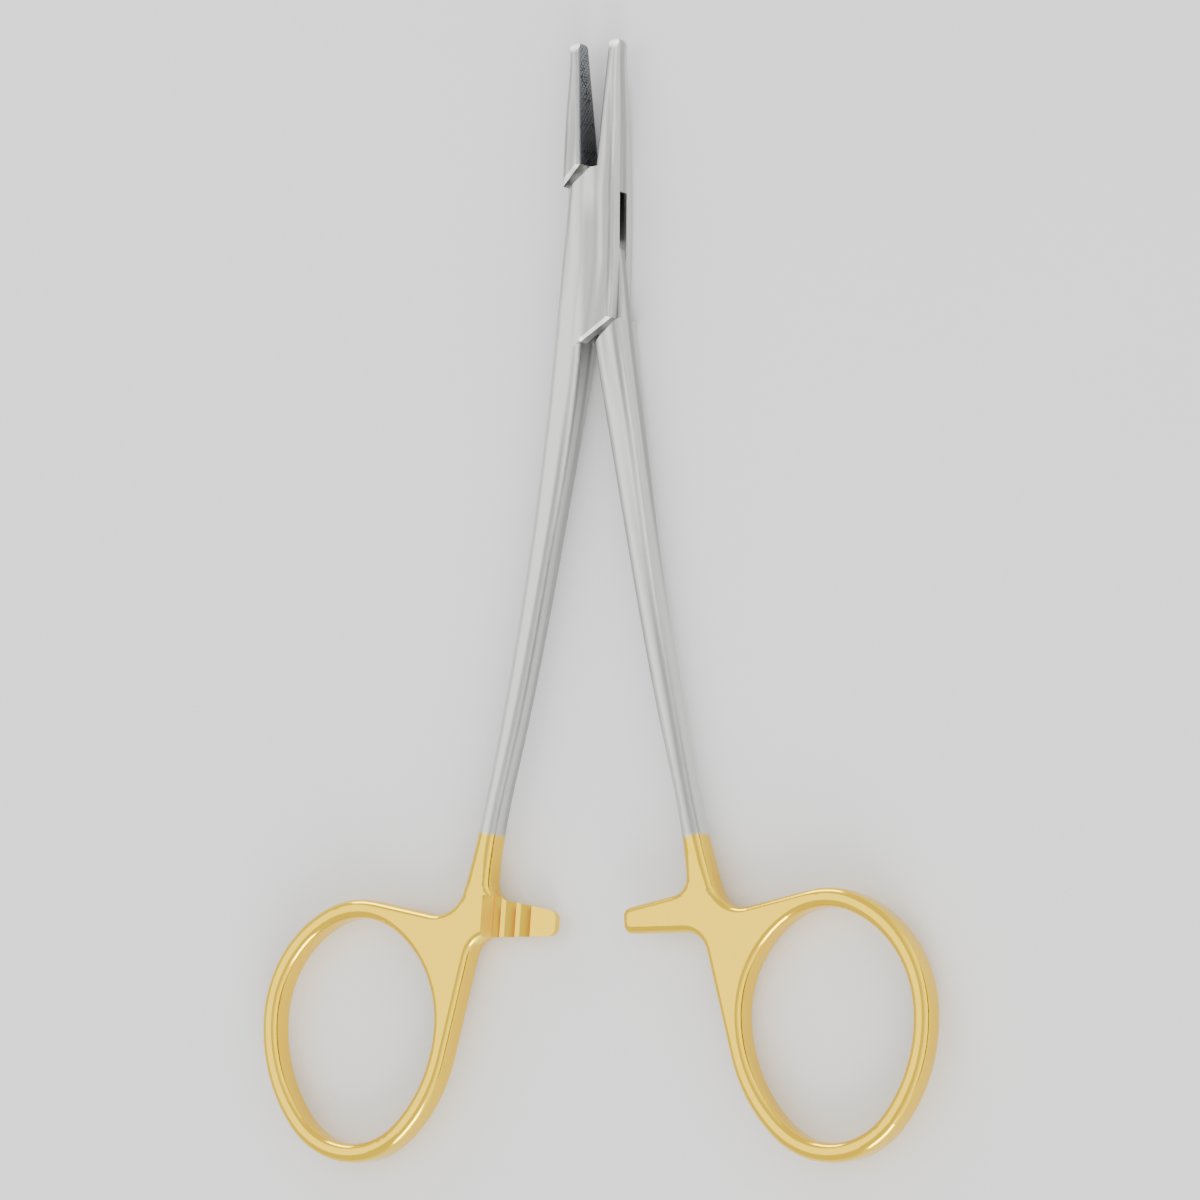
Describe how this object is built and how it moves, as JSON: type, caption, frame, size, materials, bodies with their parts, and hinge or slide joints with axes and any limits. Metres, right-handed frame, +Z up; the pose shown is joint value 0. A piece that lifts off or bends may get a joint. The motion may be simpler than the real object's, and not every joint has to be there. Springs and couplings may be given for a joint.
{
  "type": "surgical needle holder",
  "caption": "Slim scissor-type surgical needle holder with box-lock pivot, carbide-faced jaws, ratchet catch and gilded finger rings.",
  "frame": {"origin": "on the pivot axis, in the plane of the box lock's rear face, which is the plane the instrument lies on", "axes": "+X across the instrument toward the ring of the half with the tongue, +Y toward the jaw tips, +Z up out of the front face along the pivot"},
  "size_m": [0.0932, 0.1377, 0.0054],
  "materials": {
    "steel": "satin stainless steel; the last 40 mm with rings and catch bars electroplated with polished gold",
    "rivet": "satin, ground flush with the cheeks",
    "carbide": "dark grey sintered tungsten carbide with fine cross serration on the gripping face"
  },
  "bodies": {
    "box_arm": {"box_half": "steel", "box_jaw_insert": "carbide", "pivot_pin": "rivet"},
    "tongue_arm": {"tongue_half": "steel", "tongue_jaw_insert": "carbide"}
  },
  "joints": [
    {"name": "box_lock_hinge", "type": "hinge", "parent": "box_arm", "child": "tongue_arm", "pos_m": [0, 0, 0.0027], "axis": [0, 0, 1], "range_deg": [-8.4, 12]}
  ]
}
